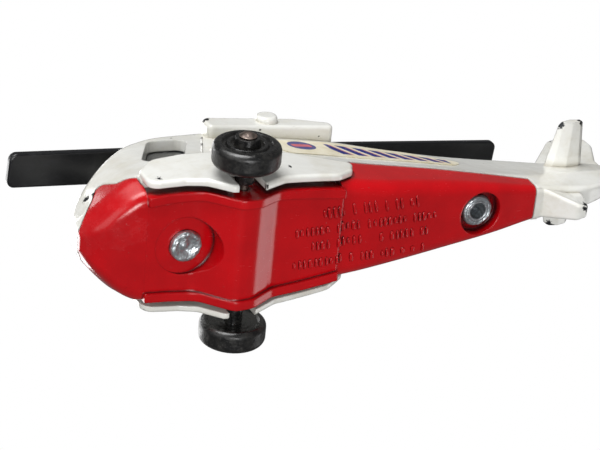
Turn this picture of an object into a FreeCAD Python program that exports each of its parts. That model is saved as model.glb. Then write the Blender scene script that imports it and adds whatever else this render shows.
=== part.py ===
import FreeCAD, Part
import math
import os

# Small die-cast toy helicopter. Millimetres, +X to the nose, +Y to port, +Z up, standing on the ground
# plane z = 0 with its two wheels and its tail skid. Stations (st) are measured forward from the axle.
V = FreeCAD.Vector
os.makedirs("parts", exist_ok=True)

# Driving dimensions
AXLE_X = 18.32              # axle station in the part's own frame, which centres the whole object
WHEEL_R = 4.25              # wheel radius, so also the axle's height
WHEEL_Y = 12.1              # middle of each wheel's width, from the centre plane
WHEEL_HALF = 1.49           # half the wheel's width
AXLE_R = 0.5
AXLE_HALF = 14.95           # centre plane to the outside of an axle head
HEAD_R = 1.1                # flattish domed axle head
RUN_FIT = 0.06              # radial clearance of whatever turns
SKIN = 1.3                  # wall of the metal casting
BASE_T = 1.1                # wall of the plastic base
GAP = 0.12                  # joint line between casting and base
MAST_ST = -12.77
BLADE_Z = 25.9              # middle of the blades' thickness at the hub
BLADE_DROOP = 1.5           # degrees
BLADE_SPAN = 71.9
BLADE_W = 4.7
BLADE_T = 1.1
BLADE_TURN = 5.05           # degrees that the rotor is turned to port at rest
FRONT_RIVET_ST = 6.7
REAR_RIVET_ST = -33.9
FRONT_SEAT_Z = 5.60         # floor of the round seat that each rivet head sits in
FRONT_SEAT_R = 3.9
FRONT_SHANK_R = 1.2
REAR_SEAT_Z = 5.0
REAR_SEAT_R = 3.0
REAR_SHANK_R = 1.5
REAR_BORE_R = 1.1
STEM_R = 0.95               # rotor stem
BASE_END_ST = -42.4         # rear end of the plastic base
RIM_FRONT_ST = 11.8         # the side recesses of the base, front and rear
RIM_REAR_ST = -13.3
RIM_T = 1.15                # thickness of the base's raised rims
SADDLE_Y = 5.2              # middle of the two saddles that carry the axle
SADDLE_T = 1.2
CAVITY_FRONT_ST = 17.0      # the hollow inside, front and rear
CAVITY_REAR_ST = -43.0
POST_CLEAR = 0.1            # radial clearance of the base round the casting's posts
SEAT_CLEAR = 0.05           # between the base and the posts' shoulders

# Fuselage sections: station, bottom, top, half widths at the bottom, the widest line and the top,
# and the height of the widest line
SECTIONS = [
    (18.9, 9.2, 13.0, 1.0, 1.9, 1.1, 11.0),
    (18.1, 7.7, 14.5, 2.3, 3.3, 2.1, 10.2),
    (16.6, 6.5, 16.1, 4.0, 5.1, 3.5, 9.5),
    (14.6, 5.8, 17.8, 5.9, 6.9, 4.8, 9.2),
    (12.0, 5.45, 20.0, 7.3, 8.15, 5.7, 9.3),
    (8.2, 5.4, 22.6, 7.4, 8.4, 6.2, 10.4),
    (4.0, 5.4, 23.6, 7.4, 8.4, 6.4, 10.8),
    (-4.0, 4.9, 23.7, 7.2, 8.2, 6.2, 10.8),
    (-12.0, 3.5, 22.9, 7.0, 7.4, 5.5, 10.0),
    (-19.0, 2.95, 20.6, 6.2, 6.35, 4.7, 9.0),
    (-28.0, 3.1, 17.7, 5.05, 5.15, 3.4, 8.0),
    (-36.0, 3.35, 15.8, 3.8, 3.85, 2.4, 7.3),
    (-43.0, 3.8, 14.4, 2.45, 2.7, 1.7, 7.1),
    (-50.0, 4.0, 13.0, 1.5, 1.9, 1.0, 8.0),
    (-55.5, 5.6, 11.9, 0.9, 1.3, 0.8, 8.6),
    (-58.4, 7.4, 10.6, 0.6, 0.9, 0.6, 9.0),
]

# Side view of the underside along the recesses: the rim runs level, dips round the axle and rises again
RIM_LINE = [(12.4, 5.0), (8.8, 5.0), (5.2, 4.5), (1.6, 0.65), (-0.9, 0.65), (-4.2, 2.45), (-14.0, 2.45)]
RIM_RADII = [0.0, 4.0, 3.0, 2.0, 3.6, 2.5, 0.0]
FLOOR_STEP = 0.55           # how far the floor lies above the rim's lowest line
# Side view of a side skirt, from its lower front corner round to its upper front corner
SKIRT_LINE = [(11.7, 5.7), (7.2, 5.2), (4.9, 4.4), (2.4, 1.8), (-1.6, 1.5), (-5.0, 3.1), (-12.6, 3.4),
              (-15.2, 5.0), (-16.4, 7.4), (-13.0, 8.5), (-8.8, 10.3), (-2.0, 11.6), (5.0, 12.2),
              (9.3, 11.9), (11.7, 9.6)]
SKIRT_RADII = [1.6, 2.0, 2.0, 0.8, 0.8, 2.0, 2.5, 1.5, 0.8, 1.5, 3.0, 3.0, 3.0, 2.0, 1.5]
SIDE_WINDOW = [(8.9, 14.4), (4.9, 13.0), (1.2, 20.3), (5.6, 21.2)]
# Side view of the joint between base and casting, nose to tail
JOINT_LINE = [(20.5, 9.9), (18.2, 10.1), (16.7, 11.6), (15.7, 13.2), (14.9, 13.3), (14.0, 10.6),
              (12.9, 10.2), (11.8, 9.2), (11.8, 8.2), (-15.2, 8.2), (-17.4, 9.7), (BASE_END_ST, 6.3)]
JOINT_RADII = [0.0, 1.5, 1.5, 0.5, 0.5, 0.5, 0.5, 0.4, 0.0, 0.5, 0.6, 0.0]


def at(station, y, z):
    """A point given by its station from the axle."""
    return V(AXLE_X + station, y, z)


def rounded_edges(points, radii, closed):
    """Edges along points, with each corner replaced by a tangent arc of its radius."""
    count = len(points)
    ends = []
    arcs = []
    for i, point in enumerate(points):
        radius = radii[i]
        inner = closed or 0 < i < count - 1
        if radius <= 0 or not inner:
            ends.append((point, point))
            arcs.append(None)
            continue
        back = (points[i - 1] - point).normalize()
        ahead = (points[(i + 1) % count] - point).normalize()
        half = back.getAngle(ahead) / 2
        reach = radius / math.tan(half)
        start = point + back * reach
        stop = point + ahead * reach
        centre = point + (back + ahead).normalize() * (radius / math.sin(half))
        middle = centre + (point - centre).normalize() * radius
        ends.append((start, stop))
        arcs.append(Part.Arc(start, middle, stop).toShape())
    edges = []
    for i in range(count):
        if arcs[i]:
            edges.append(arcs[i])
        if i < count - 1 or closed:
            here = ends[i][1]
            there = ends[(i + 1) % count][0]
            if (there - here).Length > 1e-6:
                edges.append(Part.LineSegment(here, there).toShape())
    return edges


def side_plate(points, radii, y_low, y_high):
    """A plate with an outline in the side view, from y_low to y_high."""
    outline = [at(st, y_low, z) for st, z in points]
    wire = Part.Wire(rounded_edges(outline, radii, True))
    return Part.Face(wire).extrude(V(0, y_high - y_low, 0))


def plan_plate(points, radii, z_low, z_high):
    """A plate with an outline in the top view, from z_low to z_high."""
    outline = [at(st, y, z_low) for st, y in points]
    wire = Part.Wire(rounded_edges(outline, radii, True))
    return Part.Face(wire).extrude(V(0, 0, z_high - z_low))


def block(st_low, st_high, y_low, y_high, z_low, z_high):
    """A box between two stations."""
    size = V(st_high - st_low, y_high - y_low, z_high - z_low)
    return Part.makeBox(size.x, size.y, size.z, at(st_low, y_low, z_low))


def post(station, y, z_low, z_high, radius):
    """An upright round bar."""
    return Part.makeCylinder(radius, z_high - z_low, at(station, y, z_low))


def mirrored(shape):
    """The starboard copy of a port shape."""
    return shape.mirror(V(0, 0, 0), V(0, 1, 0))


def section_wire(row, inset):
    """One fuselage section, drawn in by inset all round."""
    st, low, high, w_low, w_mid, w_top, z_mid = row
    low, high = low + inset, high - inset
    shrink = min(inset, 0.6 * w_top)
    corners = [(-w_low + shrink, low), (w_low - shrink, low), (w_mid - shrink, z_mid),
               (w_top - shrink, high), (-w_top + shrink, high), (-w_mid + shrink, z_mid)]
    reach = min(w_low, w_top) - shrink
    bottom = min(1.7, 0.55 * reach, 0.8 * (z_mid - low))
    top = min(1.5, 0.55 * reach)
    side = min(3.0, 0.8 * (w_mid - shrink), 0.9 * (z_mid - low))
    radii = [bottom, bottom, side, top, top, side]
    points = [at(st, y, z) for y, z in corners]
    return Part.Wire(rounded_edges(points, radii, True))


def slopes(stations, values):
    """Tangents that carry a curve through the values with no overshoot between them."""
    steps = [(values[i + 1] - values[i]) / (stations[i + 1] - stations[i]) for i in range(len(values) - 1)]
    tangents = [steps[0]]
    for left, right in zip(steps, steps[1:]):
        tangents.append(2 * left * right / (left + right) if left * right > 0 else 0.0)
    return tangents + [steps[-1]]


def fuselage_rows():
    """SECTIONS with smooth rows added between them, closer together at the nose."""
    stations = [row[0] for row in SECTIONS]
    columns = list(zip(*SECTIONS))
    tangents = [slopes(stations, column) for column in columns]
    rows = []
    for i in range(len(SECTIONS) - 1):
        span = stations[i + 1] - stations[i]
        parts = 3 if abs(span) > 3 else 2
        for k in range(parts):
            t = k / parts
            row = []
            for column, tangent in zip(columns, tangents):
                start, end = column[i], column[i + 1]
                value = start * (1 + 2 * t) * (1 - t) ** 2 + end * t * t * (3 - 2 * t)
                value += span * (tangent[i] * t * (1 - t) ** 2 - tangent[i + 1] * t * t * (1 - t))
                row.append(value)
            rows.append(row)
    return rows + [SECTIONS[-1]]


def fuselage(inset, front=SECTIONS[0][0], rear=SECTIONS[-1][0]):
    """The smooth form of the fuselage between two stations, drawn in by inset."""
    rows = [row for row in fuselage_rows() if rear - 0.01 <= row[0] <= front + 0.01]
    return Part.makeLoft([section_wire(row, inset) for row in rows], True, False)


def hollow_form(inset):
    """The part of the fuselage's form that is hollow, drawn in by inset."""
    return fuselage(inset, CAVITY_FRONT_ST, CAVITY_REAR_ST)


def below_joint(lift):
    """All that lies below the joint line, raised by lift."""
    points = [(st, z + lift) for st, z in JOINT_LINE[:-1]]
    points.append((BASE_END_ST - lift, JOINT_LINE[-1][1] + lift))
    points += [(BASE_END_ST - lift, -3.0), (JOINT_LINE[0][0], -3.0)]
    return side_plate(points, JOINT_RADII + [0.0, 0.0], -12.0, 12.0)


def rim_plan(inset, z_low, z_high):
    """The bowed outline of the base between its side recesses."""
    edges = []
    for side in (1, -1):
        front = at(RIM_FRONT_ST, side * (7.05 - inset), z_low)
        middle = at(1.5, side * (7.5 - inset), z_low)
        rear = at(RIM_REAR_ST, side * (6.3 - inset), z_low)
        edges.append(Part.Arc(front, middle, rear).toShape())
    ends = [edge.valueAt(edge.FirstParameter) for edge in edges]
    tails = [edge.valueAt(edge.LastParameter) for edge in edges]
    edges.append(Part.LineSegment(ends[0], ends[1]).toShape())
    edges.append(Part.LineSegment(tails[0], tails[1]).toShape())
    wire = Part.Wire(Part.__sortEdges__(edges))
    return Part.Face(wire).extrude(V(0, 0, z_high - z_low))


def above_rim_line(lift, top):
    """The side-view shape from the rim line, raised by lift, up to a height."""
    points = [(st, z + lift) for st, z in RIM_LINE]
    points += [(RIM_LINE[-1][0], top), (RIM_LINE[0][0], top)]
    return side_plate(points, RIM_RADII + [0.0, 0.0], -9.0, 9.0)


def skirt_zone(grow):
    """The room that a port side skirt takes, grown on every side."""
    outline = [at(st, 0.0, z) for st, z in SKIRT_LINE]
    wire = Part.Wire(rounded_edges(outline, SKIRT_RADII, True))
    if grow > 0:
        wire = wire.makeOffset2D(grow)
    plate = Part.Face(wire).extrude(V(0, 12, 0))
    inner = Part.Arc(at(13.0, 7.9 - grow, 0), at(1.5, 8.3 - grow, 0), at(-17.5, 6.6 - grow, 0))
    outer = Part.Arc(at(13.0, 8.75 + grow, 0), at(1.0, 9.2 + grow, 0), at(-17.5, 7.4 + grow, 0))
    front = Part.LineSegment(inner.StartPoint, outer.StartPoint)
    rear = Part.LineSegment(inner.EndPoint, outer.EndPoint)
    edges = [curve.toShape() for curve in (inner, rear, outer, front)]
    band = Part.Face(Part.Wire(Part.__sortEdges__(edges))).extrude(V(0, 0, 16))
    return plate.common(band)


def axle_slot(half_width, y_low, y_high, z_low, z_high, radius):
    """An upright slot for the axle, open below, with a round-cornered top."""
    points = [(-half_width, z_low), (-half_width, z_high), (half_width, z_high), (half_width, z_low)]
    return side_plate(points, [0.0, radius, radius, 0.0], y_low, y_high)


def soften(shape, radius, chosen):
    """Round the edges whose middle point is chosen."""
    edges = [edge for edge in shape.Edges
             if chosen(edge.valueAt((edge.FirstParameter + edge.LastParameter) / 2))]
    return shape.makeFillet(radius, edges)


def red_base():
    """The plastic underside: chin, dished middle with raised rims, and tail channel."""
    outer = fuselage(GAP).common(below_joint(0.0))
    chin = outer.common(block(RIM_FRONT_ST, 20.0, -12, 12, 0, 20))
    tail = outer.common(block(BASE_END_ST, RIM_REAR_ST, -12, 12, 0, 20))
    middle = rim_plan(0.0, 0.0, 8.2).common(above_rim_line(0.0, 8.2))
    base = chin.fuse([middle, tail])
    hollow = hollow_form(GAP + BASE_T).common(block(BASE_END_ST + BASE_T, 20.0, -12, 12, 0, 20))
    keep = block(RIM_REAR_ST - BASE_T, RIM_FRONT_ST + BASE_T, -12, 12, 0, 20)
    trough = rim_plan(BASE_T, 0.0, 20.0).common(above_rim_line(FLOOR_STEP + BASE_T, 20.0))
    base = base.cut(hollow.cut(keep)).cut(trough)
    dish = rim_plan(RIM_T, 0.0, 8.0).cut(above_rim_line(FLOOR_STEP, 9.0))
    base = base.cut([dish, skirt_zone(0.3), mirrored(skirt_zone(0.3))])
    for side in (1, -1):
        middle_y = side * SADDLE_Y
        rib = block(-1.9, 1.9, middle_y - SADDLE_T / 2, middle_y + SADDLE_T / 2, 2.5, 6.6)
        base = base.fuse(rib)
    bearing = AXLE_R + RUN_FIT
    saddle = Part.makeCylinder(bearing, 20, at(0, -10, WHEEL_R), V(0, 1, 0))
    base = base.cut([saddle, block(-bearing, bearing, -10, 10, WHEEL_R, 9.0)])
    boss = post(FRONT_RIVET_ST, 0, 3.0, FRONT_SEAT_Z + BASE_T, FRONT_SEAT_R + BASE_T)
    base = base.fuse([boss.common(above_rim_line(FLOOR_STEP + 0.02, 12.0)),
                      post(REAR_RIVET_ST, 0, 3.4, REAR_SEAT_Z + BASE_T, REAR_SEAT_R + 0.7).common(outer)])
    base = base.cut([post(FRONT_RIVET_ST, 0, 0, FRONT_SEAT_Z, FRONT_SEAT_R),
                     post(REAR_RIVET_ST, 0, 0, REAR_SEAT_Z, REAR_SEAT_R),
                     post(FRONT_RIVET_ST, 0, 0, 9, FRONT_SHANK_R + POST_CLEAR),
                     post(REAR_RIVET_ST, 0, 0, 9, REAR_SHANK_R + POST_CLEAR)])
    return base.removeSplitter()


def side_skirt():
    """The port skirt that hangs outside the base's recess, slotted for the axle."""
    skirt = skirt_zone(0.0)
    skirt = soften(skirt, 0.4, lambda p: p.y > 7.0 and not inner_side(p))
    return skirt.cut(axle_slot(1.75, 5, 12, -1.0, 6.5, 1.2))


def inner_side(point):
    """Whether a point of a skirt lies on its inner face."""
    return point.y < 8.75 - 0.0046 * (point.x - AXLE_X - 1.5) ** 2


def nacelle():
    """The port engine pod on the shoulder of the roof, with its exhaust stub."""
    side = side_plate([(-2.1, 20.1), (-2.1, 23.3), (-15.0, 22.4), (-19.8, 20.9), (-19.8, 19.3)],
                      [0.8, 1.1, 3.0, 0.8, 0.75], 3.5, 10.0)
    plan = plan_plate([(0.0, 3.0), (0.0, 8.75), (-20.5, 6.9), (-20.5, 3.0)], [0] * 4, 16.0, 24.0)
    pod = side.common(plan)
    pod = soften(pod, 0.5, lambda p: p.y > 6.9)
    stub = Part.makeCylinder(1.45, 2.6, at(-10.9, 6.0, 21.6), V(0, 1, 0.05))
    stub = soften(stub, 0.5, lambda p: p.y > 8.5)
    return pod.fuse(stub)


def fin():
    """The upright tail fin, with the tail end that it stands on."""
    points = [(-45.6, 11.2), (-54.3, 20.3), (-59.9, 20.3), (-59.7, 17.0), (-57.4, 12.6), (-57.0, 9.0),
              (-50.0, 9.0)]
    plate = side_plate(points, [0.5, 2.0, 1.6, 2.0, 1.5, 0.3, 0.5], -0.75, 0.75)
    return soften(plate, 0.45, lambda p: abs(abs(p.y) - 0.75) < 0.01 and p.z > 12.0)


def tailplane():
    """The port half of the tailplane: three facets below, swept front edge, blunt rounded tip."""
    root = [(-48.1, 11.7), (-49.1, 10.9), (-51.1, 10.4), (-53.5, 10.9), (-54.4, 11.7), (-51.3, 12.3)]
    tip = [(-49.8, 11.6), (-50.4, 11.2), (-51.6, 10.9), (-52.9, 11.2), (-53.5, 11.6), (-51.7, 12.0)]
    wires = []
    for row, y in ((root, 0.4), (tip, 7.8)):
        points = [at(st, y, z) for st, z in row]
        wires.append(Part.makePolygon(points + points[:1]))
    plane = Part.makeLoft(wires, True, True)
    ends = plan_plate([(-46.5, 0.0), (-46.5, 7.7), (-55.5, 7.7), (-55.5, 0.0)], [0] * 4, 9.0, 14.0)
    tip_round = plan_plate([(-46.5, 0.0), (-49.9, 7.75), (-53.5, 7.75), (-55.0, 0.0)],
                           [0.0, 1.3, 1.0, 0.0], 9.0, 14.0)
    return plane.common(ends).common(tip_round)


def tail_skid():
    """The keel under the boom that the toy rests on."""
    side = side_plate([(-43.4, 8.0), (-43.4, 4.0), (-46.7, 0.0), (-48.2, 0.0), (-49.4, 3.0), (-50.4, 8.0)],
                      [0.0, 0.3, 1.0, 0.6, 2.0, 0.0], -3.0, 3.0)
    plan = plan_plate([(-43.4, 2.2), (-47.6, 1.0), (-50.6, 0.7), (-50.6, -0.7), (-47.6, -1.0),
                       (-43.4, -2.2)], [0.0, 2.0, 0.0, 0.0, 2.0, 0.0], -1.0, 9.0)
    keel = side.common(plan)
    keel = soften(keel, 0.4, lambda p: abs(p.y) > 0.5 and p.z < 4.5 and p.x < AXLE_X - 43.6)
    flange = block(-43.2, BASE_END_ST - GAP, -2.3, 2.3, 4.0, 8.0)
    return keel.fuse([flange, block(-43.6, -43.1, -1.9, 1.9, 4.6, 8.0)])


def window_cutters():
    """Tapered openings for two side windows and the two halves of the windscreen."""
    cutters = []
    for y, grow in ((9.2, 0.75), (5.0, 0.1)):
        outline = [at(st, y, z) for st, z in SIDE_WINDOW]
        wire = Part.Wire(rounded_edges(outline, [0.9] * 4, True))
        cutters.append(wire.makeOffset2D(grow))
    side = Part.makeLoft(cutters, True, True)
    corners = [(0.5, 16.9), (4.4, 16.3), (4.7, 21.1), (0.5, 21.3)]
    pane = [at(8.6, y, z) for y, z in corners]
    wire = Part.Wire(rounded_edges(pane, [0.6] * 4, True))
    screen = Part.Face(wire).extrude(V(10, 0, 0))
    return [side, mirrored(side), screen, mirrored(screen)]


def body_casting():
    """The white metal casting: hollow fuselage with everything that is cast on it."""
    shell = fuselage(0.0).cut(below_joint(GAP))
    cavity = hollow_form(SKIN).cut(block(-60, BASE_END_ST + SKIN, -9, 9, 0, 25))
    shell = shell.cut(cavity)
    shell = shell.cut(window_cutters())
    bulkhead = block(-0.7, 0.7, -9, 9, 8.9, 25.0).common(hollow_form(SKIN - 0.3))
    pieces = [bulkhead, fin(), tail_skid()]
    for shape in (side_skirt(), nacelle().cut(cavity), tailplane()):
        pieces += [shape, mirrored(shape)]
    for side in (1, -1):
        middle_y = side * SADDLE_Y
        keeper = block(-0.4, 0.4, middle_y - 0.5, middle_y + 0.5, WHEEL_R + AXLE_R + RUN_FIT, 9.2)
        pieces.append(keeper)
    pieces.append(post(FRONT_RIVET_ST, 0, FRONT_SEAT_Z + BASE_T + SEAT_CLEAR, 22.3, 2.1))
    pieces.append(post(REAR_RIVET_ST, 0, REAR_SEAT_Z + BASE_T + SEAT_CLEAR, 15.4, 1.95))
    pieces.append(Part.makeCone(2.6, 1.9, 1.9, at(MAST_ST, 0, 22.3)))
    casting = shell.fuse(pieces)
    casting = casting.cut([post(FRONT_RIVET_ST, 0, 0, 13.0, FRONT_SHANK_R),
                           post(REAR_RIVET_ST, 0, 0, 9.5, REAR_SHANK_R),
                           post(MAST_ST, 0, 18.0, 26.0, STEM_R + RUN_FIT)])
    return casting.removeSplitter()


def window_moulding():
    """The dark clear liner that stands behind all the window openings."""
    outer = hollow_form(SKIN + 0.1)
    inner = fuselage(SKIN + 0.8, 15.6, -41.0)
    liner = outer.cut([inner, post(FRONT_RIVET_ST, 0, 10.0, 25.0, 2.5)])
    return liner.common(block(1.0, 18.0, -9, 9, 13.0, 21.4))


def turned(profile):
    """A solid of revolution about the wheel line, from (y, radius) points."""
    points = [at(0, y, WHEEL_R + radius) for y, radius in profile]
    face = Part.Face(Part.makePolygon(points + points[:1]))
    return face.revolve(at(0, 0, WHEEL_R), V(0, 1, 0), 360)


def port_wheel():
    """One solid plastic wheel with ringed side, outer hub and long inner sleeve."""
    inner = WHEEL_Y - WHEEL_HALF
    outer = WHEEL_Y + WHEEL_HALF
    bore = AXLE_R + RUN_FIT
    profile = [(8.35, bore), (8.35, 1.15), (inner + 0.25, 1.15), (inner + 0.25, 3.1), (inner, 3.4),
               (inner, WHEEL_R), (outer, WHEEL_R), (outer, 3.15), (outer - 0.35, 2.95),
               (outer - 0.35, 2.7), (outer - 0.05, 2.5), (outer - 0.05, 2.1), (outer - 0.4, 1.9),
               (outer - 0.4, 1.65), (14.38, 1.55), (14.38, bore)]
    wheel = turned(profile)
    return soften(wheel, 0.8, lambda p: math.hypot(p.x - AXLE_X, p.z - WHEEL_R) > WHEEL_R - 0.01
                  and min(abs(p.y - inner), abs(p.y - outer)) < 0.01)


def axle():
    """The steel rod with a flattish domed head formed on each end."""
    rod = Part.makeCylinder(AXLE_R, 2 * AXLE_HALF - 0.4, at(0, 0.2 - AXLE_HALF, WHEEL_R), V(0, 1, 0))
    heads = []
    for side in (1, -1):
        ball = 1.6
        dome = Part.makeSphere(ball, at(0, side * (AXLE_HALF - ball), WHEEL_R))
        barrel = Part.makeCylinder(HEAD_R, 0.48, at(0, side * (AXLE_HALF - 0.48), WHEEL_R), V(0, side, 0))
        heads.append(dome.common(barrel))
    return rod.fuse(heads).removeSplitter()


def blade(side):
    """One flat blade, drooping to its tip, on the forward (1) or aft (-1) side of the hub."""
    half = BLADE_SPAN / 2
    width = BLADE_W / 2
    corners = [(0.0, -width), (side * half, -width), (side * half, width), (0.0, width)]
    plate = plan_plate(corners, [0.0, 1.0, 1.0, 0.0], -BLADE_T / 2, BLADE_T / 2)
    plate = soften(plate, 0.3, lambda p: abs(p.x - AXLE_X) > 0.1)
    root = plan_plate([(0.0, -1.3), (side * 9.0, -1.3), (side * 9.0, 1.3), (0.0, 1.3)],
                      [0.0, 1.2, 1.2, 0.0], 0.0, BLADE_T / 2 + 0.4)
    shape = plate.fuse(root)
    shape.rotate(at(0, 0, 0), V(0, 1, 0), side * BLADE_DROOP)
    shape.translate(V(0, 0, BLADE_Z))
    return shape


def rotor():
    """Two blades on a domed hub, with a snap stem that turns in the roof."""
    hub = Part.makeCylinder(2.7, 2.7, at(0, 0, 24.35))
    hub = soften(hub, 0.8, lambda p: p.z > 26.5)
    stem = Part.makeCylinder(STEM_R, 5.0, at(0, 0, 19.6))
    barb = Part.makeCone(0.8, 1.32, 1.1, at(0, 0, 19.3))
    shape = hub.fuse([blade(1), blade(-1), stem, barb])
    shape.rotate(at(0, 0, 0), V(0, 0, 1), BLADE_TURN)
    shape.translate(V(MAST_ST, 0, 0))
    return shape.removeSplitter()


def front_rivet():
    """The solid front post end, peened into a cratered head with an off-centre nub."""
    low = FRONT_SEAT_Z - 0.8
    head = Part.makeCylinder(2.08, 0.78, at(FRONT_RIVET_ST, 0, low))
    head = soften(head, 0.35, lambda p: p.z < low + 0.1)
    crater = Part.makeSphere(3.0, at(FRONT_RIVET_ST, 0, low - 2.62))
    nub = Part.makeSphere(0.75, at(FRONT_RIVET_ST + 0.35, 0.35, low + 0.55))
    shank = post(FRONT_RIVET_ST, 0, FRONT_SEAT_Z - 0.1, 12.9, FRONT_SHANK_R)
    return head.cut(crater).fuse([nub, shank]).removeSplitter()


def rear_rivet():
    """The tubular rear rivet: rolled-over lip, open bore, shank in the casting's post."""
    low = REAR_SEAT_Z - 1.0
    lip = Part.makeCylinder(2.15, 0.95, at(REAR_RIVET_ST, 0, low))
    lip = soften(lip, 0.42, lambda p: True)
    shank = post(REAR_RIVET_ST, 0, REAR_SEAT_Z - 0.2, 9.4, REAR_SHANK_R)
    rivet = lip.fuse(shank).cut(post(REAR_RIVET_ST, 0, 0, 8.4, REAR_BORE_R))
    groove = Part.makeTorus(1.6, 0.2, at(REAR_RIVET_ST, 0, low))
    return soften(rivet, 0.2, lambda p: p.z < low + 0.01).cut(groove)


def port_label():
    """The paper sticker that wraps the port flank of the boom."""
    outline = [(-9.6, 12.4), (-9.6, 18.3), (-18.9, 18.2), (-29.0, 15.7), (-35.3, 11.6), (-33.2, 10.2)]
    window = side_plate(outline, [1.6, 1.6, 6.0, 6.0, 0.8, 1.2], 1.0, 10.0)
    sheet = fuselage(-0.14, 0.0, -43.0).cut(fuselage(-0.02, 4.0, -50.0))
    return sheet.common(window)


def save(node, shape):
    """Write one node and say how big it is."""
    box = shape.optimalBoundingBox(False, False)
    print(node, shape.isValid(), len(shape.Solids), round(shape.Volume, 1),
          [round(v, 2) for v in (box.XMin, box.XMax, box.YMin, box.YMax, box.ZMin, box.ZMax)])
    shape.exportStep("parts/" + node + ".step")


save("body_casting", body_casting())
save("red_base", red_base())
save("window_moulding", window_moulding())
save("axle", axle())
save("port_wheel", port_wheel())
save("starboard_wheel", mirrored(port_wheel()))
save("rotor", rotor())
save("front_rivet", front_rivet())
save("rear_rivet", rear_rivet())
save("port_label", port_label())
save("starboard_label", mirrored(port_label()))
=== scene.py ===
import math
import random
import bpy
from mathutils import Matrix, Vector


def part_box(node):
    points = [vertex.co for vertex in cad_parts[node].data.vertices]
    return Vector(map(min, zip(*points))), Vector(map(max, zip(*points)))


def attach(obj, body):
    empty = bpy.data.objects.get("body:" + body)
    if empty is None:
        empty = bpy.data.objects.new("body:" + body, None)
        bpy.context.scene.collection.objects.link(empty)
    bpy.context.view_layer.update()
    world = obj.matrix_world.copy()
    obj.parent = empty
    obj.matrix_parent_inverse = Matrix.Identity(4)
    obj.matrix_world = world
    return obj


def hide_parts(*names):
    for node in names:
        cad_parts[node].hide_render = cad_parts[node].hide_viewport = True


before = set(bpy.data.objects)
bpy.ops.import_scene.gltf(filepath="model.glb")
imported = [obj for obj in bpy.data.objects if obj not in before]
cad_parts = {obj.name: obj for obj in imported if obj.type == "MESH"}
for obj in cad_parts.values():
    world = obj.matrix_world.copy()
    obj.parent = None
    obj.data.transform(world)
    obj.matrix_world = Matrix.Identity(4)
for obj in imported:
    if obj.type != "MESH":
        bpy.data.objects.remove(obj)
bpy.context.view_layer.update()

MM = 0.001


# The casting: one zinc die casting with the cabin, boom, fin, tailplane, engine pods, side skirts and tail
# skid, hollow below. It is stoved in gloss white enamel, now creamy with grime, its corners darkened by
# grime and by painted shade, and chipped through to the dark zinc where it gets knocked.
class Shade:
    """A shader socket. Sums on it add Math nodes, and make() adds any other node beside it."""

    def __init__(self, tree, socket=None):
        self.tree = tree
        self.socket = socket

    def make(self, kind, settings, inputs, output=0):
        node = self.tree.nodes.new("ShaderNode" + kind)
        for name, value in settings.items():
            setattr(node, name, value)
        for name, value in inputs.items():
            if isinstance(value, Shade):
                self.tree.links.new(value.socket, node.inputs[name])
            else:
                node.inputs[name].default_value = value
        return Shade(self.tree, node.outputs[output])

    def math(self, operation, *values):
        return self.make("Math", {"operation": operation}, dict(enumerate(values)))

    def __add__(self, other):
        return self.math("ADD", self, other)

    def __sub__(self, other):
        return self.math("SUBTRACT", self, other)

    def __rsub__(self, other):
        return self.math("SUBTRACT", other, self)

    def __mul__(self, other):
        return self.math("MULTIPLY", self, other)

    def __truediv__(self, other):
        return self.math("DIVIDE", self, other)

    def __gt__(self, other):
        return self.math("GREATER_THAN", self, other)

    __radd__ = __add__
    __rmul__ = __mul__

    def ramp(self, start, end):
        """0 below start and 1 above end, eased between them. Start may be the larger."""
        low, high = min(start, end), max(start, end)
        sides = (0.0, 1.0) if start < end else (1.0, 0.0)
        inputs = {"Value": self, "From Min": low, "From Max": high, "To Min": sides[0], "To Max": sides[1]}
        return self.make("MapRange", {"interpolation_type": "SMOOTHSTEP"}, inputs)

    def blend(self, under, over):
        """The colour under, with the colour over laid on it where this value is 1."""
        inputs = {0: self, 6: under, 7: over}
        return self.make("Mix", {"data_type": "RGBA"}, inputs, 2)

    def stretched(self, *scale):
        """These coordinates, scaled along each axis."""
        return self.make("VectorMath", {"operation": "MULTIPLY"}, {0: self, 1: scale})

    def noise(self, size, detail=3.0, roughness=0.55):
        """Cloudy noise with features about size across, in the units of these coordinates."""
        inputs = {"Vector": self, "Scale": 1 / size, "Detail": detail, "Roughness": roughness}
        return self.make("TexNoise", {}, inputs)

    def cells(self, size):
        """Distance to the nearest of points about size apart."""
        return self.make("TexVoronoi", {}, {"Vector": self, "Scale": 1 / size})

    def near(self, place, reach, wander):
        """1 inside a ragged spot round a place, given with its reach in these coordinates' units."""
        away = self.make("VectorMath", {"operation": "DISTANCE"}, {0: self, 1: place}, "Value")
        return (away + wander).ramp(reach + 0.08, reach - 0.08)


def colour(*srgb):
    """A linear colour from 8-bit screen values."""
    linear = [c / 255 / 12.92 if c < 10.3 else ((c / 255 + 0.055) / 1.055) ** 2.4 for c in srgb]
    return (*linear, 1.0)


def finish(name, **constants):
    """A new material with its shader's constants set, and its surface coordinates in mm."""
    material = bpy.data.materials.new(name)
    material.use_nodes = True
    shader = material.node_tree.nodes["Principled BSDF"]
    for socket, value in constants.items():
        shader.inputs[socket.replace("_", " ")].default_value = value
    place = Shade(material.node_tree).make("TexCoord", {}, {}, "Object")
    return material, place.make("VectorMath", {"operation": "SCALE"}, {0: place, "Scale": 1 / MM})


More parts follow.
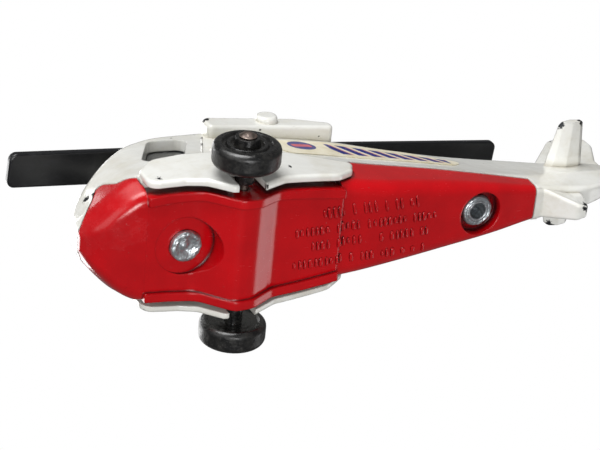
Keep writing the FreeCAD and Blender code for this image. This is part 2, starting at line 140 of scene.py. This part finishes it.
def feed(material, soft_edge=0.0, **values):
    """Link what varies over the surface to the material's shader, a height by way of a bump.

    A soft edge is the radius in mm that the piece's sharp edges are seen with.
    """
    tree = material.node_tree
    shader = tree.nodes["Principled BSDF"]
    for socket, value in values.items():
        if socket == "height":
            socket = "Normal"
            inputs = {"Strength": 1.0, "Distance": MM, "Height": value}
            if soft_edge:
                inputs["Normal"] = value.make("Bevel", {"samples": 6}, {"Radius": soft_edge * MM})
            value = value.make("Bump", {}, inputs)
        tree.links.new(value.socket, shader.inputs[socket.replace("_", " ")])


def paint(node, material):
    """Give a CAD node a finish."""
    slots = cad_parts[node].data.materials
    slots.clear()
    slots.append(material)


def corners_of(node):
    """A node's lowest and highest corners, in mm."""
    low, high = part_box(node)
    return Vector(low) / MM, Vector(high) / MM


def edge_wear(place, reach):
    """1 on the outer corners of the piece, from how near its other faces are behind the surface."""
    settings = {"samples": 8, "inside": True, "only_local": True}
    return 1 - place.make("AmbientOcclusion", settings, {"Distance": reach * MM}, "AO")


def crevice(place, reach, local=True):
    """1 deep in the corners of the piece, or of the whole toy where it isn't local."""
    settings = {"samples": 8, "only_local": local}
    return 1 - place.make("AmbientOcclusion", settings, {"Distance": reach * MM}, "AO")


AXLE = (corners_of("axle")[0] + corners_of("axle")[1]) / 2      # the middle of the axle
ENAMEL = colour(240, 240, 235)
# The cream tint of grime, also laid in the corners as painted shade.
ENAMEL_GRIME_AND_SHADE = colour(196, 187, 160)
ENAMEL_SCRATCHED = colour(150, 146, 136)
BARE_METAL = colour(52, 54, 56)
# Station ahead of the axle, distance to port, height and reach of each knock
KNOCKS = [(-2.5, 8.5, 22.6, 0.55), (17.0, 4.1, 13.2, 0.5), (16.3, 4.9, 12.6, 0.35),
          (10.2, 8.9, 6.6, 0.3), (1.9, 8.7, 2.6, 0.22), (-1.8, 8.7, 1.9, 0.25),
          (-15.6, 7.2, 5.6, 0.3), (-7.0, 8.9, 6.0, 0.2), (-47.9, 0.5, 0.5, 0.6),
          (-49.9, 7.5, 11.5, 0.6), (-53.2, 7.5, 11.5, 0.55), (-50.2, -7.7, 11.3, 0.7),
          (-59.4, 0.4, 19.8, 0.6), (-54.6, 0.5, 20.2, 0.5), (17.6, -2.9, 11.9, 0.5),
          (-2.4, -8.5, 22.5, 0.45), (10.9, -8.9, 6.4, 0.4), (-58.0, 0.7, 10.2, 0.5)]

white_enamel, place = finish("white_enamel", Coat_Roughness=0.08, IOR=1.5)
ragged = (place.noise(0.5, 5.0) - 0.5) * 1.6
grain = place.noise(2.2, 5.0)
wear = (edge_wear(place, 0.5) + (grain - 0.5) * 1.5 + (place.noise(0.35, 3.0) - 0.5) * 0.7).ramp(0.97, 1.03)
for station, port, height, reach in KNOCKS:
    spot = (AXLE.x + station, port, height)
    wear = wear.math("MAXIMUM", wear, place.near(spot, reach, ragged))
flecks = (place.cells(2.6) + (place.noise(0.15) - 0.5) * 0.06).ramp(0.062, 0.05) * (grain > 0.55)
wear = wear.math("MAXIMUM", wear, flecks)
# Darker in the corners and creases: partly grime, partly painted shade that gives the creases their depth.
crevice_grime_and_shade = crevice(place, 1.8).ramp(0.12, 0.8) * (0.55 + place.noise(0.9) * 0.7)
haze = place.noise(7.0, 6.0, 0.65).ramp(0.42, 0.72) * 0.34
streaks = place.stretched(0.4, 1, 1).noise(0.8, 4.0).ramp(0.5, 0.8) * 0.16
film = haze + streaks
grime_and_shade = crevice_grime_and_shade.math("MAXIMUM", crevice_grime_and_shade * 0.9, film)
paintwork = grime_and_shade.blend(ENAMEL, ENAMEL_GRIME_AND_SHADE)
scratches = place.stretched(0.12, 1.0, 1.6).noise(0.22, 2.0).ramp(0.70, 0.76)
scratches = scratches * place.noise(5.0).ramp(0.5, 0.6)
scratched = (scratches * 0.35).blend(paintwork, ENAMEL_SCRATCHED)
feed(white_enamel, soft_edge=0.28,
     Base_Color=wear.blend(scratched, BARE_METAL),
     Roughness=0.13 + grime_and_shade * 0.35 + wear * 0.3 + scratches * 0.2,
     Metallic=wear * 0.75,
     Coat_Weight=0.45 - wear * 0.45,
     height=place.noise(3.2, 2.0) * 0.10 + place.noise(0.7, 2.0) * 0.012 - wear * 0.05 - scratches * 0.01)
paint("body_casting", white_enamel)


# The door on each side of the cabin: its shut lines stand up on the casting as fine beads, and its pull
# is a small pad. They were part of the die, so they are the same white enamel.
def deselect():
    """Leave nothing selected, whatever came before."""
    if bpy.context.object and bpy.context.object.mode != "OBJECT":
        bpy.ops.object.mode_set(mode="OBJECT")
    bpy.ops.object.select_all(action="DESELECT")


def applied(piece, *modifiers):
    """Apply a new piece's modifiers, then its place, so that it sits at the origin."""
    deselect()
    piece.select_set(True)
    bpy.context.view_layer.objects.active = piece
    for kind, settings in modifiers:
        modifier = piece.modifiers.new(kind.lower(), kind)
        for name, value in settings.items():
            setattr(modifier, name, value)
        bpy.ops.object.modifier_apply(modifier=modifier.name)
    bpy.ops.object.transform_apply(location=True, rotation=True, scale=True)
    bpy.ops.object.shade_smooth_by_angle(angle=math.radians(35))
    return piece


def joined(name, pieces):
    """Several new pieces made one, with a plain name."""
    deselect()
    for piece in pieces:
        piece.select_set(True)
    bpy.context.view_layer.objects.active = pieces[0]
    if len(pieces) > 1:
        bpy.ops.object.join()
    pieces[0].name = name
    return pieces[0]


def onto(node, start, way):
    """Where a line from start, in mm, meets a node's surface, and which way the surface faces."""
    hit, spot, normal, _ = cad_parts[node].ray_cast(start * MM, way)
    return (spot, normal) if hit else (None, None)


def bead(name, node, points, way, radius, gap=0.6):
    """A half-sunk bead that follows a node's surface along straight runs between points."""
    spots = []
    for start, end in zip(points, points[1:]):
        steps = max(2, round((end - start).length / gap))
        spots += [start.lerp(end, step / steps) for step in range(steps)]
    spots.append(points[-1])
    hits = [onto(node, spot, way)[0] for spot in spots]
    hits = [hit for hit in hits if hit]
    curve = bpy.data.curves.new(name, "CURVE")
    curve.dimensions = "3D"
    curve.bevel_depth = radius * MM
    curve.bevel_resolution = 2
    curve.use_fill_caps = True
    line = curve.splines.new("NURBS")
    line.points.add(len(hits) - 1)
    for point, hit in zip(line.points, hits):
        point.co = (*hit, 1.0)
    line.order_u = 3
    line.use_endpoint_u = True
    piece = bpy.data.objects.new(name, curve)
    bpy.context.scene.collection.objects.link(piece)
    deselect()
    piece.select_set(True)
    bpy.context.view_layer.objects.active = piece
    bpy.ops.object.convert(target="MESH")
    return bpy.context.object


DOOR_LINE = [(-1.4, 20.6), (1.6, 13.6), (2.4, 12.7), (4.0, 12.6)]      # station, height
DOOR_LINE_R = 0.16
DOOR_PULL = (-0.4, 14.6)
DOOR_PULL_SIZE = (1.5, 0.55, 0.5)
DOOR_PULL_CORNER = 0.17
OUTSIDE = 14.0                # a distance from the middle that is clear of the casting

for side, name in ((1, "port_door_lines"), (-1, "starboard_door_lines")):
    inwards = Vector((0, -side, 0))
    outline = [Vector((AXLE.x + station, side * OUTSIDE, height)) for station, height in DOOR_LINE]
    lines = bead(name + "_bead", "body_casting", outline, inwards, DOOR_LINE_R)
    station, height = DOOR_PULL
    spot, normal = onto("body_casting", Vector((AXLE.x + station, side * OUTSIDE, height)), inwards)
    facing = normal.to_track_quat("Z", "X").to_euler()
    deselect()
    bpy.ops.mesh.primitive_cube_add(size=1, location=spot, rotation=facing)
    pull = bpy.context.object
    pull.scale = Vector(DOOR_PULL_SIZE) * MM
    applied(pull)
    applied(pull, ("BEVEL", {"width": DOOR_PULL_CORNER * MM, "segments": 3}))
    door = joined(name, [lines, pull])
    door.data.materials.clear()
    door.data.materials.append(white_enamel)
    applied(door)
    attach(door, "airframe")


# The plastic base: one moulding of hard gloss red styrene that closes the casting's underside, with the
# chin, the dished floor between two raised rims and the tail channel. It has fine scuffs, dust in its
# corners, a slightly rubbed chin and a painted shadow line where it meets the casting.
RED = colour(198, 0, 12)
RED_DEEP = colour(182, 0, 11)
RED_RUBBED = colour(200, 70, 74)
RED_DUSTY = colour(120, 60, 56)
# The colour of the painted shadow where other parts come near the base.
GAP_SHADOW_COLOUR = colour(26, 4, 8)
CHIN = (AXLE.x + 15.6, 4.0, 8.6)
CHIN_REACH = 4.6

red_plastic, place = finish("red_plastic", IOR=1.52, Coat_Roughness=0.06)
cloud = place.noise(6.0, 5.0, 0.6)
long_scuffs = place.stretched(0.10, 1.0, 1.0).noise(0.16, 2.0).ramp(0.68, 0.76)
cross_scuffs = place.stretched(1.0, 0.14, 1.0).noise(0.14, 2.0).ramp(0.70, 0.78)
rubbed = place.near(CHIN, CHIN_REACH, (place.noise(2.5, 4.0) - 0.5) * 9.0)
rubbed = rubbed * place.noise(1.3, 6.0, 0.7).ramp(0.25, 0.8)
edges = edge_wear(place, 0.45).ramp(0.45, 0.9) * cloud.ramp(0.35, 0.7)
dust = crevice(place, 1.2).ramp(0.35, 0.95) * place.noise(0.5, 4.0).ramp(0.35, 0.75)
specks = (place.cells(0.9) + (place.noise(0.2) - 0.5) * 0.1).ramp(0.10, 0.07) * (place.noise(3.0) > 0.52)
scuffs = (long_scuffs * 0.6 + cross_scuffs * 0.4) * cloud.ramp(0.38, 0.6)
tint = cloud.ramp(0.3, 0.7).blend(RED_DEEP, RED)
tint = (scuffs * 0.20 + rubbed * 0.15 + edges * 0.10).blend(tint, RED_RUBBED)
tint = (dust * 0.35 + specks * 0.25).blend(tint, RED_DUSTY)
# Painted shadow: the base is darkened near the casting, the rivets and the other parts that come close to
# it.
painted_gap_shadow = crevice(place, 1.3, local=False).ramp(0.30, 0.50)
tint = (painted_gap_shadow * 0.92).blend(tint, GAP_SHADOW_COLOUR)
feed(red_plastic, soft_edge=0.35, Base_Color=tint,
     Roughness=0.17 + cloud * 0.10 + scuffs * 0.25 + rubbed * 0.10 + dust * 0.3,
     Coat_Weight=0.18 - rubbed * 0.18,
     height=place.noise(2.6, 2.0) * 0.045 - scuffs * 0.008 + specks * 0.01)
paint("red_base", red_plastic)


# The raised marks on the base, behind the axle: four rows of short upright bars, moulded with the base
# in the same red plastic. They stand for the maker's text and say nothing.
random.seed(7)
# First and last station of each row, its distance to port, how tall its bars are and how far they lean
MARK_ROWS = [(-10.8, -24.6, 3.2, 1.7, 0.22), (-7.2, -28.0, 0.9, 1.3, 0.08),
             (-9.6, -26.4, -1.2, 1.3, 0.08), (-7.2, -25.8, -3.6, 1.3, 0.08)]
BAR_WIDTH = 0.34
BAR_RISE = 0.22
BAR_CORNER = 30               # percent
BAR_GAPS = (0.66, 0.66, 0.80, 0.80, 1.5)
BARS_LEFT_OUT = 0.07
BELOW = -5.0                  # a height that is clear of the base

deselect()
bpy.ops.mesh.primitive_cube_add(size=1)
bar = bpy.context.object
bar.scale = Vector((BAR_WIDTH, 1.0, BAR_RISE * 2)) * MM
applied(bar, ("BEVEL", {"offset_type": "PERCENT", "width_pct": BAR_CORNER, "segments": 2}))
bars = []
for first, last, port, tall, lean in MARK_ROWS:
    station = first
    while station > last:
        spot, normal = onto("red_base", Vector((AXLE.x + station, port, BELOW)), Vector((0, 0, 1)))
        if spot and random.random() > BARS_LEFT_OUT:
            copy = bpy.data.objects.new("mark", bar.data.copy())
            bpy.context.scene.collection.objects.link(copy)
            across = normal.cross(Vector((1, 0, 0))).normalized()
            turn = Matrix((across.cross(normal), across, normal)).transposed().to_4x4()
            skew = Matrix.Rotation(lean, 4, "Z")
            wide = random.choice((1, 1, 1.5))
            size = Matrix.Diagonal((wide, tall * random.choice((1, 1, 1, 0.7)), 1, 1))
            copy.matrix_world = Matrix.Translation(spot) @ turn @ skew @ size
            bars.append(copy)
        station -= random.choice(BAR_GAPS)
bpy.data.objects.remove(bar)
marks = joined("base_moulded_marks", bars)
marks.data.materials.clear()
marks.data.materials.append(red_plastic)
applied(marks)
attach(marks, "airframe")


# The glazing: one moulding of smoke-tinted clear plastic, held between casting and base, that shows in the
# windscreen and both side windows. It is dusty and lightly scratched.
SMOKE = colour(58, 60, 62)
SMOKE_DUSTY = colour(112, 112, 108)

smoked_glazing, place = finish("smoked_glazing", IOR=1.49, Transmission_Weight=0.35, Coat_Roughness=0.05)
film = place.noise(1.6, 5.0, 0.65).ramp(0.35, 0.75)
scratches = place.stretched(0.2, 1, 1).noise(0.12, 2.0).ramp(0.66, 0.74)
feed(smoked_glazing, Base_Color=(film * 0.6 + scratches * 0.3).blend(SMOKE, SMOKE_DUSTY),
     Roughness=0.07 + film * 0.28 + scratches * 0.2,
     Coat_Weight=0.6 - film * 0.4,
     height=place.noise(1.5, 2.0) * 0.03 - scratches * 0.004)
paint("window_moulding", smoked_glazing)


# The two rivets: the ends of the casting's posts, bare zinc, spun over the base when the toy was put
# together. The front one is solid, with a crater and a nub left by the punch, and the rear one is a tube
# with a rolled lip.
ZINC = colour(196, 202, 206)
ZINC_TARNISHED = colour(74, 80, 84)

bare_zinc, place = finish("bare_zinc", IOR=2.0)
facets = place.noise(0.55, 4.0, 0.6)
tarnish = place.noise(0.9, 5.0, 0.7).ramp(0.42, 0.66)
pits = place.cells(0.34).ramp(0.16, 0.05)
hollows = crevice(place, 0.7).ramp(0.2, 0.9)
feed(bare_zinc, Base_Color=(tarnish * 0.55 + hollows * 0.6 + pits * 0.3).blend(ZINC, ZINC_TARNISHED),
     Metallic=0.95 - tarnish * 0.35,
     Roughness=0.24 + tarnish * 0.28 + facets * 0.15,
     height=facets * 0.09 + place.noise(0.14, 2.0) * 0.02 - pits * 0.03)


def hammered(node, name, voxel, deep):
    """A copy of a rivet with the uneven skin that the punch leaves, for the node to be shown by."""
    piece = bpy.data.objects.new(name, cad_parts[node].data.copy())
    bpy.context.scene.collection.objects.link(piece)
    deselect()
    piece.select_set(True)
    bpy.context.view_layer.objects.active = piece
    bpy.ops.object.mode_set(mode="EDIT")
    bpy.ops.mesh.select_all(action="SELECT")
    bpy.ops.mesh.remove_doubles(threshold=0.002 * MM)
    bpy.ops.object.mode_set(mode="OBJECT")
    clouds = bpy.data.textures.new(name, "CLOUDS")
    clouds.noise_scale = 0.9 * MM
    clouds.noise_depth = 2
    applied(piece, ("REMESH", {"mode": "VOXEL", "voxel_size": voxel * MM}),
            ("SMOOTH", {"factor": 0.5, "iterations": 3}),
            ("DISPLACE", {"texture": clouds, "strength": deep * MM, "mid_level": 0.62}))
    bpy.ops.object.shade_smooth()
    piece.data.materials.clear()
    piece.data.materials.append(bare_zinc)
    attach(piece, "airframe")
    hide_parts(node)
    return piece


hammered("front_rivet", "front_rivet_peened", 0.075, 0.30)
hammered("rear_rivet", "rear_rivet_rolled", 0.065, 0.26)


# The axle: a length of drawn steel wire with a flattish head formed on each end, browned with age.
STEEL = colour(128, 116, 108)
STEEL_RUSTY = colour(74, 50, 38)

axle_steel, place = finish("axle_steel", IOR=2.4, Anisotropic=0.3)
rust = place.noise(0.5, 5.0, 0.7).ramp(0.42, 0.62)
draw_lines = place.stretched(6.0, 0.3, 6.0).noise(0.5, 2.0)
feed(axle_steel, Base_Color=rust.blend(STEEL, STEEL_RUSTY),
     Metallic=0.95 - rust * 0.5,
     Roughness=0.28 + rust * 0.35 + draw_lines * 0.08,
     height=place.noise(0.6, 3.0) * 0.05 + draw_lines * 0.01 + rust * 0.01)
paint("axle", axle_steel)


# The wheels: solid black gloss plastic, each in one piece with its hub and a long inner sleeve, pushed on
# the axle before its head was formed. Their treads are rubbed dull and dusty.
BLACK = colour(13, 13, 14)
BLACK_DUSTY = colour(112, 108, 100)
TREAD_STARTS, TREAD_FULL = 3.9, 4.2      # distances from the axle

black_plastic, place = finish("black_plastic", IOR=1.5, Coat_Roughness=0.12)
hub = place.make("VectorMath", {"operation": "SUBTRACT"}, {0: place, 1: (AXLE.x, 0.0, AXLE.z)})
part = {axis: hub.make("SeparateXYZ", {}, {0: hub}, axis) for axis in "XZ"}
squares = part["X"] * part["X"] + part["Z"] * part["Z"]
out = squares.math("SQRT", squares)
rings = out.math("SINE", out * 9.0)
tread = out.ramp(TREAD_STARTS, TREAD_FULL)
dust = place.noise(0.8, 5.0, 0.65).ramp(0.40, 0.72)
corner_dust = crevice(place, 0.9).ramp(0.3, 0.95) * place.noise(0.35, 3.0)
scuffs = place.noise(0.22, 3.0).ramp(0.60, 0.70) * (0.25 + tread * 0.75)
feed(black_plastic, soft_edge=0.15,
     Base_Color=(dust * 0.10 + corner_dust * 0.32 + scuffs * 0.14).blend(BLACK, BLACK_DUSTY),
     Roughness=0.20 + dust * 0.22 + tread * 0.16 + scuffs * 0.2,
     Coat_Weight=0.35 - tread * 0.25,
     height=rings * 0.010 + place.noise(0.5, 4.0) * 0.05 * (0.3 + tread) - scuffs * 0.015)
paint("port_wheel", black_plastic)
paint("starboard_wheel", black_plastic)


# The rotor: one flexible black plastic moulding of two blades, hub and stem, snapped into the roof. It is
# smoother than the wheels, with the faint blue of bare polythene.
BLADE_BLACK = colour(6, 7, 11)
BLADE_SCUFFED = colour(92, 94, 100)

blade_plastic, place = finish("blade_plastic", IOR=1.5, Coat_Roughness=0.2)
flow = place.stretched(0.25, 1.0, 1.0).noise(1.6, 4.0)
dust = place.noise(2.4, 5.0, 0.7).ramp(0.50, 0.75)
scuffs = place.stretched(0.15, 1.0, 1.0).noise(0.14, 2.0).ramp(0.68, 0.76)
rubbed = edge_wear(place, 0.3).ramp(0.5, 0.95)
feed(blade_plastic, soft_edge=0.15,
     Base_Color=(dust * 0.05 + scuffs * 0.10 + rubbed * 0.08).blend(BLADE_BLACK, BLADE_SCUFFED),
     Roughness=0.30 + flow * 0.12 + dust * 0.15 + scuffs * 0.15,
     Coat_Weight=0.20 - dust * 0.1,
     height=flow * 0.05 + place.noise(0.3, 2.0) * 0.008 - scuffs * 0.006)
paint("rotor", blade_plastic)


# The labels: one printed paper sticker on each flank of the boom, cream with age, under a worn clear
# varnish. The print is a run of slanting blue bars with thin red shadows and a disc crossed by a band.
PAPER = colour(242, 235, 212)
PAPER_AGED = colour(214, 199, 158)
PAPER_EDGE = colour(150, 134, 100)
LABEL_INK = colour(16, 26, 124)
LABEL_SHADE = colour(206, 84, 96)
DISC_STATION, DISC_HEIGHT, DISC_R = -13.4, 15.9, 1.95
BAND_HALF, BAND_REACH = 0.62, 1.45                            # the band across the disc
BARS_START, BARS_LENGTH, BARS_PITCH = -17.2, 16.0, 2.15       # station of the first bar, then the run
BAR_INK, BAR_SHADE = 1.32, 1.62                               # where each bar and its shadow end in a pitch

label_paper, place = finish("label_paper", IOR=1.48, Coat_Roughness=0.15)
part = {axis: place.make("SeparateXYZ", {}, {0: place}, axis) for axis in "XZ"}
station = part["X"] - AXLE.x
height = part["Z"]
off_x = station - DISC_STATION
off_z = height - DISC_HEIGHT
squares = off_x * off_x + off_z * off_z
disc_r = squares.math("SQRT", squares)
smudge = (place.noise(0.4, 3.0) - 0.5) * 0.10
disc = (disc_r + smudge).ramp(DISC_R, DISC_R - 0.08)
band = off_z.math("ABSOLUTE", off_z + smudge).ramp(BAND_HALF, BAND_HALF - 0.1)
band = band * (disc_r + smudge).ramp(BAND_REACH, BAND_REACH - 0.1)
run = BARS_START - station
middle = 15.1 - run * 0.21
half = 2.35 - run * 0.09
level = (height - middle) / half
inside = run.ramp(0.0, 0.05) * run.ramp(BARS_LENGTH, BARS_LENGTH - 0.05)
inside = inside * level.math("ABSOLUTE", level + smudge * 0.4).ramp(1.0, 0.95)
phase = run.math("FLOORED_MODULO", run + level * 0.7 + smudge, BARS_PITCH)
bar_ink = phase.ramp(0.0, 0.06) * phase.ramp(BAR_INK, BAR_INK - 0.08) * inside
bar_shade = phase.ramp(BAR_INK - 0.06, BAR_INK) * phase.ramp(BAR_SHADE, BAR_SHADE - 0.08) * inside
worn = 1 - place.noise(0.3, 5.0, 0.7).ramp(0.60, 0.68) * 0.55
age = place.noise(2.0, 5.0, 0.65)
paper = (age.ramp(0.35, 0.75) * 0.7).blend(PAPER, PAPER_AGED)
paper = (crevice(place, 0.25).ramp(0.2, 0.8) * 0.5).blend(paper, PAPER_EDGE)
paper = (bar_shade * worn * 0.8).blend(paper, LABEL_SHADE)
paper = (bar_ink * worn).blend(paper, LABEL_INK)
paper = (disc * worn).blend(paper, LABEL_INK)
paper = (band * worn).blend(paper, LABEL_SHADE)
feed(label_paper, Base_Color=paper,
     Roughness=0.30 + age * 0.25,
     Coat_Weight=0.25 - age * 0.15,
     height=age * 0.03 + place.noise(0.12, 2.0) * 0.006 + (bar_ink + disc) * 0.004)
paint("port_label", label_paper)
paint("starboard_label", label_paper)


# What it stands on: a plain pale floor, seen only from above so that the underside can be looked at.
FLOOR_WIDE = 1.6              # metres

deselect()
bpy.ops.mesh.primitive_plane_add(size=FLOOR_WIDE, location=(0, 0, 0))
floor = bpy.context.object
floor.name = "floor"
floor_finish, place = finish("pale_floor", Roughness=0.75)
feed(floor_finish, Base_Color=place.noise(60.0).blend(colour(236, 236, 234), colour(228, 228, 226)))
tree = floor_finish.node_tree
backing = Shade(tree).make("NewGeometry", {}, {}, "Backfacing")
clear = backing.make("BsdfTransparent", {}, {})
shaded = Shade(tree, tree.nodes["Principled BSDF"].outputs[0])
seen = backing.make("MixShader", {}, {0: backing, 1: shaded, 2: clear})
tree.links.new(seen.socket, tree.nodes["Material Output"].inputs["Surface"])
floor.data.materials.append(floor_finish)
floor.visible_shadow = False
floor.visible_diffuse = False
floor.visible_glossy = False


# The studio: a white room, with soft boxes round the underside, one beyond the tail that glints on the
# ramp of the base, one overhead and one to port.
world = bpy.data.worlds.new("studio")
bpy.context.scene.world = world
world.use_nodes = True
room = world.node_tree.nodes["Background"]
room.inputs["Color"].default_value = (1, 1, 1, 1)
ROOM_GLOW = 0.15
camera_ray = Shade(world.node_tree).make("LightPath", {}, {}, "Is Camera Ray")
world.node_tree.links.new((camera_ray * (1 - ROOM_GLOW) + ROOM_GLOW).socket, room.inputs["Strength"])

VIEW_AZIMUTH = math.radians(46.62)
VIEW_ELEVATION = math.radians(-52.42)
VIEW_ROLL = math.radians(44.39)
VIEW_DISTANCE = 252.58 * MM
LENS, SENSOR = 121.9, 36.0
VIEW_CENTRE = Vector((AXLE.x - 8.16, 1.38, AXLE.z)) * MM

level_part = math.cos(VIEW_ELEVATION)
towards = Vector((math.cos(VIEW_AZIMUTH) * level_part, math.sin(VIEW_AZIMUTH) * level_part,
                  math.sin(VIEW_ELEVATION)))
plain_up = (Vector((0, 0, 1)) - towards * towards.z).normalized()
up = plain_up * math.cos(VIEW_ROLL) + plain_up.cross(towards) * math.sin(VIEW_ROLL)
right = up.cross(towards)
deselect()
bpy.ops.object.camera_add()
camera = bpy.context.object
camera.name = "camera"
turn = Matrix((right, up, towards)).transposed().to_4x4()
camera.matrix_world = Matrix.Translation(VIEW_CENTRE + towards * VIEW_DISTANCE) @ turn
camera.data.lens = LENS
camera.data.sensor_width = SENSOR
camera.data.clip_start = 0.01
bpy.context.scene.camera = camera
bpy.context.scene.view_settings.view_transform = "Standard"


def soft_box(name, way, distance, width, tall, watts, aim=VIEW_CENTRE):
    """A rectangular lamp that faces the object from one direction."""
    deselect()
    way = way.normalized()
    facing = way.to_track_quat("Z", "Y").to_euler()
    bpy.ops.object.light_add(type="AREA", location=aim + way * distance, rotation=facing)
    lamp = bpy.context.object
    lamp.name = name
    lamp.data.shape = "RECTANGLE"
    lamp.data.size = width
    lamp.data.size_y = tall
    lamp.data.energy = watts


RAMP = Vector((AXLE.x - 1.6, 0.0, 1.6)) * MM
soft_box("key", towards * 0.55 + up * 0.85 - right * 0.15, 0.38, 0.26, 0.20, 1.05)
soft_box("fill", towards * 0.85 + up * 0.1 - right * 0.75, 0.45, 0.30, 0.30, 0.34)
soft_box("below", Vector((0.30, 0.15, -1.0)), 0.42, 0.18, 0.18, 1.10)
soft_box("ramp_glint", Vector((-0.860, -0.443, -0.22)), 0.26, 0.07, 0.10, 0.038, RAMP)
soft_box("overhead", Vector((0.25, -0.35, 1.0)), 0.45, 0.35, 0.35, 1.6)
soft_box("side", Vector((0.3, 1.0, 0.35)), 0.5, 0.3, 0.3, 0.6)
